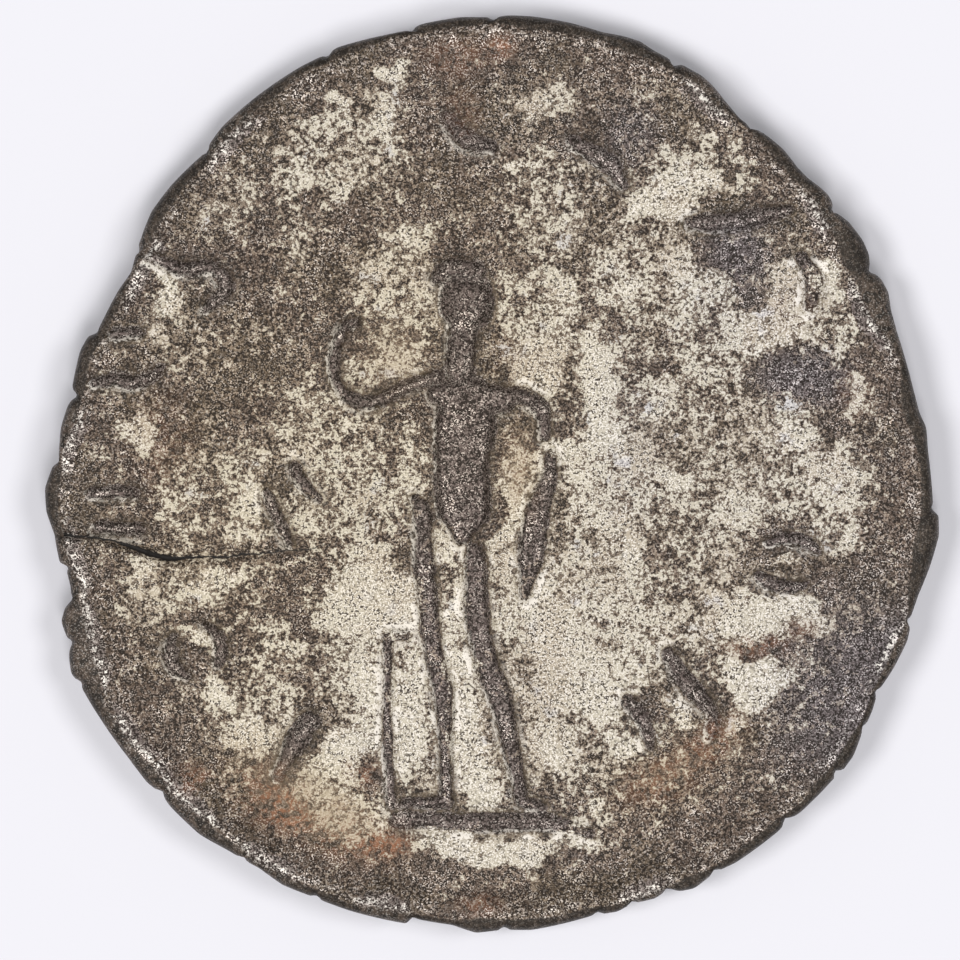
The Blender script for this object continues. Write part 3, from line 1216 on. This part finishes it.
    def layered(self, sparkle: Wire) -> Wire:
        """The pale layer and its thin film over the dark metal, and rust over both.

        Args:
            sparkle: Where the metal's bright grains are.

        Returns:
            The colour of the faces, before what the relief does to it.
        """
        mix, tones = self.mix, self.tones
        colour = mix(self.film * (0.3 + self.grain * 0.8), self.dark_metal(sparkle), tones.film)
        tan = self.warmth.step(0.5, 1.0)
        pale = mix(tan * 0.4, self.pale_layer(), tones.film)
        colour = mix(self.layer, mix(tan * 0.2, colour, tones.film), pale)
        speckled = self.flake.step(0.4, 0.56) * (1.0 - self.grain.step(0.47, 0.56) * 0.65)
        stained = self.attribute("rust") * (speckled + self.broad.step(0.5, 0.62) * 0.3)
        return mix(stained, colour, tones.rust)

    def beside_relief(self, colour: Wire) -> Wire:
        """What the relief does to the colour: its banks keep dirt, bright lines run along its feet
        and lit lips, and hollows are dark. Wide areas are then tinted warm or cool.

        Args:
            colour: The colour so far.

        Returns:
            The colour with it.
        """
        mix, tones, ragged = self.mix, self.tones, self.ragged
        bank = ragged.step(-0.16, -0.08) * ragged.step(0.01, -0.04)
        bank_tone = mix(self.cover.step(0.1, 0.45), tones.shade, tones.bank)
        colour = mix(bank * (0.3 - self.dust.step(0.45, 0.6) * 0.2), colour, bank_tone)
        lit = self.attribute("facing").step(0.1, 0.4)
        kept = self.drift.step(0.44, 0.52) * (self.cover.step(0.45, 0.75) + lit * 0.4)
        foot = abs(ragged + 0.11).step(0.08, 0.04) * kept
        colour = mix(foot * self.grain.step(0.38, 0.46), colour, tones.bright)
        broken = self.drift.step(0.58, 0.48) * self.flake.step(0.36, 0.5) * self.grain.step(0.4, 0.52)
        lip = abs(ragged - 0.01).step(0.06, 0.02) * lit * broken
        colour = mix(lip * 0.85, colour, tones.bright)
        colour = mix(self.hollow * 0.15, colour, tones.soil)
        tint = mix(self.warmth * 0.5 + 0.5, tones.cool, tones.warm)
        return self.add("ShaderNodeVectorMath", {"operation": "MULTIPLY"}, {0: colour, 1: tint})

    def round_edge(self, colour: Wire) -> Wire:
        """The dark edge with soil in its creases, and the bright ridge where the shoulder is rubbed.

        Args:
            colour: The colour so far.

        Returns:
            The colour with it.
        """
        mix, tones, flake, grain = self.mix, self.tones, self.flake, self.grain
        mottle = flake.step(0.36, 0.62) * 0.7 + grain.step(0.45, 0.6) * 0.3
        tone = mix(mottle, tones.edge_dark, tones.edge_pale)
        tone = mix(abs(self.attribute("crease")).step(0.14, 0.02) * 0.8, tone, tones.soil)
        tone = mix(self.rubbed.step(0.15, 0.5) * flake.step(0.4, 0.58) * 0.7, tone, tones.brown)
        tone = mix(grain.step(0.52, 0.44) * 0.6, tone, tones.soil)
        tone = mix(self.dust.step(0.58, 0.64) * self.rubbed * 0.6, tone, tones.glint)
        colour = mix(self.slope * (1.0 - flake.step(0.6, 0.7) * 0.3), colour, tone)
        beyond = self.attribute("beyond")
        ridge = abs(beyond + flake * 0.6 - 0.22).step(0.12, 0.03) * self.rubbed.step(0.2, 0.5)
        return mix(ridge * grain.step(0.48, 0.58) * flake.step(0.4, 0.55) * 0.7, colour, tones.bright)

    def cracked(self, colour: Wire) -> Wire:
        """The crack's dark gap, a little ragged."""
        half = self.attribute("crack_half")
        apart = abs(self.attribute("crack") + (self.flake - 0.5) * 0.16)
        gap = apart.step(half + 0.02, half - 0.01) * half.step(0.002, 0.012)
        return self.mix(gap, colour, self.tones.gap)

    def finish(self) -> None:
        """Puts the layers together and links them to the material's surface."""
        tones, layer, hollow = self.tones, self.layer, self.hollow
        sparkle = self.sparkle()
        colour = self.cracked(self.round_edge(self.beside_relief(self.layered(sparkle))))
        height = layer * 0.5 + self.flake * 0.4 + self.grain * 0.3
        bump = self.add("ShaderNodeBump", {}, {
            "Strength": 1.0, "Distance": tones.bump_depth * MILLIMETRE, "Height": height,
        })
        shader = self.add("ShaderNodeBsdfPrincipled", {}, {
            "Base Color": colour,
            "Roughness": tones.roughness - sparkle * 0.25 + layer * 0.08 + hollow * 0.15,
            "Metallic": (1.0 - layer) * (1.0 - self.slope * 0.6) * (1.0 - hollow) * tones.metallic,
            "Normal": bump,
            "Specular IOR Level": tones.specular,
        })
        output = self.tree.nodes.new("ShaderNodeOutputMaterial")
        self.tree.links.new(shader.socket, output.inputs["Surface"])


# The coin.


@dataclass(frozen=True)
class Coin:
    """The coin's mesh: a grid over the reverse, rings round the edge and a grid of half the
    fineness over the obverse."""

    low: Array
    high: Array
    flan: Flan = field(default_factory=Flan)
    patina: Patina = field(default_factory=Patina)
    finish: TonedSilver = field(default_factory=TonedSilver)
    cells: int = 264
    rings: int = 8
    # Softening passes: for the wear, for the surroundings of a place on each face, and for slopes.
    wear_passes: int = 1
    hollow_passes: int = 12
    under_passes: int = 5
    slope_passes: int = 2
    hollow_depth: float = 0.03
    # Mean reach of the grids as a share of the radius, and the powers of the edge's section.
    inner_share: float = 0.975
    out_power: float = 0.6
    fall_power: float = 0.8
    ring_step: float = 0.04
    edge_rubbing: float = 0.6
    lit_from: Point = (0.8, 0.6)
    # The pale layer on the lower face: its mean share, and how far waves raise and lower it.
    under_cover: float = 0.42
    under_spread: float = 0.3

    def spread(self) -> tuple[Array, Array]:
        """Grid lines from -1 to 1 that stand closer over the figure.

        Returns:
            The lines across and the lines up.
        """
        fine = np.linspace(-1.0, 1.0, 2001)
        lines = []
        for middle, reach, extra in ((-0.12, 0.3, 0.9), (-0.1, 0.7, 0.25)):
            density = 1.0 + extra * np.exp(-(((fine - middle) / reach) ** 2))
            total = np.concatenate([[0.0], np.cumsum((density[1:] + density[:-1]) / 2)])
            lines.append(np.interp(np.linspace(0.0, total[-1], self.cells + 1), total, fine))
        return lines[0], lines[1]

    def places(self, stride: int, radius_at: Callable[[Array], Array]) -> tuple[Array, Array, Array]:
        """Grid places of a face. The square's point (u, v) goes to the disc at u * sqrt(1 - v * v / 2)
        and v * sqrt(1 - u * u / 2), and the disc's rim is drawn out to the face's own outline, less
        and less towards the middle, as the sixth power of the radius.

        Args:
            stride: Every how many grid lines to take.
            radius_at: The face's outline radius at turns in degrees.

        Returns:
            Places across, places up and their turns, each a square array.
        """
        across, up = self.spread()
        u, v = np.meshgrid(across[::stride], up[::stride], indexing="xy")
        p, q = u * np.sqrt(1.0 - v * v / 2.0), v * np.sqrt(1.0 - u * u / 2.0)
        reach = np.hypot(p, q)
        turn = np.degrees(np.arctan2(q, p)) % 360.0
        base = self.flan.radius * self.inner_share
        radius = reach * (base + (radius_at(turn) - base) * reach**6)
        angle = np.radians(turn)
        return radius * np.cos(angle), radius * np.sin(angle), turn

    @staticmethod
    def border(count: int) -> Array:
        """Indices round the rim of a square grid of count by count points, counter-clockwise."""
        index = np.arange(count * count).reshape(count, count)
        return np.concatenate([index[0, :-1], index[:-1, -1], index[-1, :0:-1], index[:0:-1, 0]])

    @staticmethod
    def grid_quads(count: int) -> Array:
        """Quads of a square grid, counter-clockwise from above.

        Args:
            count: Points to a side.

        Returns:
            Corner indices, one row each.
        """
        index = np.arange(count * count).reshape(count, count)
        corners = (index[:-1, :-1], index[:-1, 1:], index[1:, 1:], index[1:, :-1])
        return np.stack(corners, axis=-1).reshape(-1, 4)

    @staticmethod
    def soften(values: Array, passes: int) -> Array:
        """Wears a grid of heights: each pass takes a place halfway to the mean of its neighbours.

        Args:
            values: Heights, a square array.
            passes: How many passes.

        Returns:
            The worn heights.
        """
        result = values.copy()
        for _ in range(passes):
            mean = (result[:-2, 1:-1] + result[2:, 1:-1] + result[1:-1, :-2] + result[1:-1, 2:]) / 4.0
            result[1:-1, 1:-1] = (result[1:-1, 1:-1] + mean) / 2.0
        return result

    def build(self) -> bpy.types.Object:
        """Builds the coin, dresses it and puts it in the frame.

        Returns:
            The coin's object.
        """
        reverse, obverse = Reverse(self.flan), Obverse(self.flan)
        top = self.places(1, self.flan.shoulder)
        low = self.places(2, self.flan.obverse_shoulder)
        top_z, top_inset = (a.reshape(top[0].shape) for a in reverse.heights(*map(np.ravel, top)))
        low_z, low_inset = (a.reshape(low[0].shape) for a in obverse.heights(*map(np.ravel, low)))
        top_z = self.soften(top_z, self.wear_passes)

        top_edge, low_edge = self.border(self.cells + 1), self.border(self.cells // 2 + 1)
        ring_places, ring_values = self.edge(top[2].ravel()[top_edge], top_z.ravel()[top_edge], obverse)
        places = [np.stack([*map(np.ravel, (*face[:2], z))], axis=-1)
                  for face, z in ((top, top_z), (low, low_z))]
        places.insert(1, ring_places)
        faces = self.faces(top_edge, low_edge, top_z.size, low_z.size)
        top_values = self.reverse_values(reverse, top, top_z, top_inset)
        low_values = self.obverse_values(low, low_z, low_inset)
        parts = (top_values, ring_values, low_values)
        values = {name: np.concatenate([part[name] for part in parts]) for name in top_values}
        return self.make(np.concatenate(places), faces, values)

    def edge(self, turn: Array, upper_z: Array, obverse: Obverse) -> tuple[Array, dict[str, Array]]:
        """Rings round the edge. With t from the reverse's shoulder down to the obverse's, the radius
        goes out as sin(t) ** out_power, the height as cos(t) ** fall_power, and the creases cut in.

        Args:
            turn: Turns of the reverse's rim points.
            upper_z: Their heights.
            obverse: The face that the rings go down to.

        Returns:
            Places of the rings, and their values by name.
        """
        flan = self.flan
        outer, upper, lower = flan.outline(turn), flan.shoulder(turn), flan.obverse_shoulder(turn)
        angle = np.radians(turn)
        lower_z = obverse.heights(lower * np.cos(angle), lower * np.sin(angle), turn)[0]
        middle = (flan.obverse_field + flan.reverse_field) / 2
        around = (np.pi * np.arange(1, self.rings + 2) / (self.rings + 1))[:, None]
        is_upper = around < np.pi / 2
        shore_radius, shore_z = np.where(is_upper, upper, lower), np.where(is_upper, upper_z, lower_z)
        out = np.sin(around) ** self.out_power
        out[-1] = 0.0
        crease = flan.crease(turn[None, :], out)
        cut = flan.crease_depth * hump(crease, flan.crease_width) * (out * (1.0 - 0.5 * out))
        radius = shore_radius + (outer - shore_radius) * out - cut
        z = middle + (shore_z - middle) * np.abs(np.cos(around)) ** self.fall_power
        places = np.stack([radius * np.cos(angle), radius * np.sin(angle), z], axis=-1).reshape(-1, 3)
        beyond = np.maximum(0.0, radius - upper) + self.ring_step * np.arange(1, self.rings + 2)[:, None]
        nothing = np.zeros(radius.size)
        rubbed = np.tile(self.edge_rubbing * flan.rubbing(turn), self.rings + 1)
        values = {"cover": nothing, "inset": nothing - 1.0, "hollow": nothing, "facing": nothing,
                  "rubbed": rubbed, "beyond": beyond.ravel(), "crease": crease.ravel(), "rust": nothing,
                  "crack": nothing + 1.0, "crack_half": nothing,
                  "warmth": self.patina.warmth(places[:, 0], places[:, 1])}
        return places, values

    def reverse_values(self, reverse: Reverse, face: tuple[Array, Array, Array], z: Array,
                       inset: Array) -> dict[str, Array]:
        """What the finish reads on the upper face. A place is hollow as far as it lies below the
        mean of its surroundings, and it faces the light as its slope tips to the lower left.

        Args:
            reverse: The face's relief.
            face: Its grid places and turns.
            z: Its heights.
            inset: Its distances in from the foot of the relief.

        Returns:
            Values of the face's points by name.
        """
        x, y, turn = map(np.ravel, face)
        beyond = np.hypot(x, y) - self.flan.shoulder(turn)
        rubbed = hump(beyond + 0.16, 0.34) * self.flan.rubbing(turn)
        crack, crack_half = reverse.crack(x, y)
        hollow = np.clip((self.soften(z, self.hollow_passes) - z) / self.hollow_depth, 0.0, 1.0)
        rise_y, rise_x = np.gradient(self.soften(z, self.slope_passes))
        step_x, step_y = np.gradient(face[0], axis=1), np.gradient(face[1], axis=0)
        slope_x, slope_y = rise_x / np.maximum(step_x, 0.01), rise_y / np.maximum(step_y, 0.01)
        facing = self.lit_from[0] * slope_x + self.lit_from[1] * slope_y
        return {"cover": self.patina.cover(x, y), "inset": inset.ravel(), "hollow": hollow.ravel(),
                "facing": np.clip(facing.ravel(), -1.0, 1.0), "rubbed": rubbed, "beyond": beyond,
                "crease": self.flan.crease(turn, np.zeros_like(turn)), "rust": self.patina.stains(x, y),
                "crack": crack, "crack_half": crack_half, "warmth": self.patina.warmth(x, y)}

    def obverse_values(self, face: tuple[Array, Array, Array], z: Array, inset: Array) -> dict[str, Array]:
        """What the finish reads on the lower face: an even, plainer patina than the upper face's.

        Args:
            face: Its grid places and turns.
            z: Its heights.
            inset: Its distances in from the foot of the relief.

        Returns:
            Values of the face's points by name.
        """
        x, y, _ = map(np.ravel, face)
        hollow = np.clip((z - self.soften(z, self.under_passes)) / self.hollow_depth, 0.0, 1.0)
        cover = self.under_cover + self.under_spread * ripple(x, y, 2.4, 11)
        nothing = np.zeros_like(x)
        return {"cover": cover, "inset": inset.ravel(), "hollow": hollow.ravel(), "facing": nothing,
                "rubbed": nothing, "beyond": nothing - 1.0, "crease": nothing + 1.0, "rust": nothing,
                "crack": nothing + 1.0, "crack_half": nothing, "warmth": nothing}

    def faces(self, top_edge: Array, low_edge: Array, top_count: int, low_count: int) -> list[list[int]]:
        """All faces, outward: both grids, the bands between rings, and a strip that halves the
        fineness where the last ring meets the obverse's rim.

        Args:
            top_edge: Rim of the reverse's grid.
            low_edge: Rim of the obverse's grid.
            top_count: Points of the reverse's grid.
            low_count: Points of the obverse's grid.

        Returns:
            Corner indices of every face.
        """
        round_count = len(top_edge)
        rows = [top_edge]
        for ring in range(self.rings + 1):
            rows.append(top_count + ring * round_count + np.arange(round_count))
        bands = []
        for above, below in zip(rows, rows[1:]):
            bands.append(np.stack([above, below, np.roll(below, -1), np.roll(above, -1)], axis=-1))
        low_start = top_count + (self.rings + 1) * round_count
        last, rim = rows[-1], low_start + low_edge
        even, odd, after = last[0::2], last[1::2], np.roll(last, -2)[0::2]
        next_rim = np.roll(rim, -1)
        strip = np.concatenate([
            np.stack([even, rim, odd], axis=-1),
            np.stack([odd, rim, next_rim], axis=-1),
            np.stack([odd, next_rim, after], axis=-1),
        ])
        side = round(math.sqrt(low_count))
        obverse = low_start + self.grid_quads(side)[:, ::-1]
        quads = np.concatenate([self.grid_quads(self.cells + 1), *bands, obverse])
        return quads.tolist() + strip.tolist()

    def make(self, places: Array, faces: list[list[int]], values: dict[str, Array]) -> bpy.types.Object:
        """Fits the places to the solid's box, and makes the object with its values and finish.

        Args:
            places: Places in millimetres, one row each.
            faces: Corner indices of every face.
            values: The mesh's own values by name.

        Returns:
            The coin's object.
        """
        least, most = places.min(axis=0), places.max(axis=0)
        least[2], most[2] = 0.0, STRUCK_THICKNESS
        fitted = self.low + (places - least) / (most - least) * (self.high - self.low)
        mesh = bpy.data.meshes.new("coin_struck")
        mesh.from_pydata(fitted.tolist(), [], faces)
        mesh.polygons.foreach_set("use_smooth", np.ones(len(mesh.polygons), bool))
        for name, numbers in values.items():
            attribute = mesh.attributes.new(name, "FLOAT", "POINT")
            attribute.data.foreach_set("value", numbers.astype(np.float32))
        mesh.materials.append(self.finish.material())
        mesh.update()
        coin = bpy.data.objects.new("coin_struck", mesh)
        bpy.context.scene.collection.objects.link(coin)
        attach(coin, "root")
        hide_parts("coin")
        return coin


# The studio.


@dataclass(frozen=True)
class Lamp:
    """A broad far light. Turns and heights are in degrees, its spread is its width in the sky."""

    name: str
    turn: float
    height: float
    strength: float
    spread: float

    def hang(self) -> None:
        """Adds the light, turned to shine on the coin."""
        sun = bpy.data.lights.new(self.name, "SUN")
        sun.energy = self.strength
        sun.angle = math.radians(self.spread)
        sun.color = (1.0, 0.985, 0.965)
        lamp = bpy.data.objects.new(self.name, sun)
        lamp.rotation_euler = (math.radians(90.0 - self.height), 0.0, math.radians(self.turn + 90.0))
        bpy.context.scene.collection.objects.link(lamp)


@dataclass(frozen=True)
class Studio:
    """White paper, a weak dome of light, three broad lamps and the camera straight above."""

    paper: Colour = (0.772, 0.774, 0.832, 1.0)
    dome: float = 0.17
    lamps: tuple[Lamp, ...] = (
        Lamp("left", 190.0, 61.0, 1.45, 20.0),
        Lamp("right", 8.0, 61.0, 1.0, 20.0),
        Lamp("near", 280.0, 70.0, 1.12, 18.0),
    )
    lens: float = 400.0
    sensor: float = 36.0
    shown: float = 0.02304
    aim: Point = (-0.000288, -0.000144)

    def floor(self) -> bpy.types.Object:
        """The sheet of paper that the coin lies on.

        Returns:
            Its object.
        """
        half = 0.6
        mesh = bpy.data.meshes.new("paper")
        corners = [(-half, -half, 0), (half, -half, 0), (half, half, 0), (-half, half, 0)]
        mesh.from_pydata(corners, [], [(0, 1, 2, 3)])
        material = bpy.data.materials.new("paper")
        material.use_nodes = True
        shader = material.node_tree.nodes["Principled BSDF"]
        shader.inputs["Base Color"].default_value = self.paper
        shader.inputs["Roughness"].default_value = 0.9
        shader.inputs["Specular IOR Level"].default_value = 0.1
        mesh.materials.append(material)
        floor = bpy.data.objects.new("paper", mesh)
        bpy.context.scene.collection.objects.link(floor)
        return floor

    def lights(self) -> None:
        """The dome is the world's own light, and the lamps shine from three sides."""
        world = bpy.data.worlds.new("dome")
        world.use_nodes = True
        background = world.node_tree.nodes["Background"]
        background.inputs["Color"].default_value = (0.985, 0.99, 1.0, 1.0)
        background.inputs["Strength"].default_value = self.dome
        bpy.context.scene.world = world
        for lamp in self.lamps:
            lamp.hang()

    def camera(self, level: float) -> None:
        """The camera looks straight down, from where its long lens shows the photograph's width.

        Args:
            level: Height above the floor where the width is shown.
        """
        scene = bpy.context.scene
        data = bpy.data.cameras.new("camera")
        data.lens, data.sensor_width = self.lens, self.sensor
        data.clip_start, data.clip_end = 0.01, 10.0
        camera = bpy.data.objects.new("camera", data)
        camera.location = (*self.aim, level + self.shown * self.lens / self.sensor)
        scene.collection.objects.link(camera)
        scene.camera = camera
        scene.view_settings.view_transform = "Standard"

    def build(self, level: float) -> None:
        """Sets up the floor, the lights and the camera."""
        self.floor()
        self.lights()
        self.camera(level)


def main() -> None:
    """Loads the solid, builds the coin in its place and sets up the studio."""
    logging.basicConfig(level=logging.INFO, format="%(name)s: %(message)s")
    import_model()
    low, high = (np.array(corner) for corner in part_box("coin"))
    coin = Coin(low, high).build()
    LOG.info("coin: %d points, %d faces", len(coin.data.vertices), len(coin.data.polygons))
    Studio().build((low[2] + high[2]) / 2.0)
    LOG.info("studio: paper, dome, three lamps and camera")


if __name__ == "__main__":
    main()
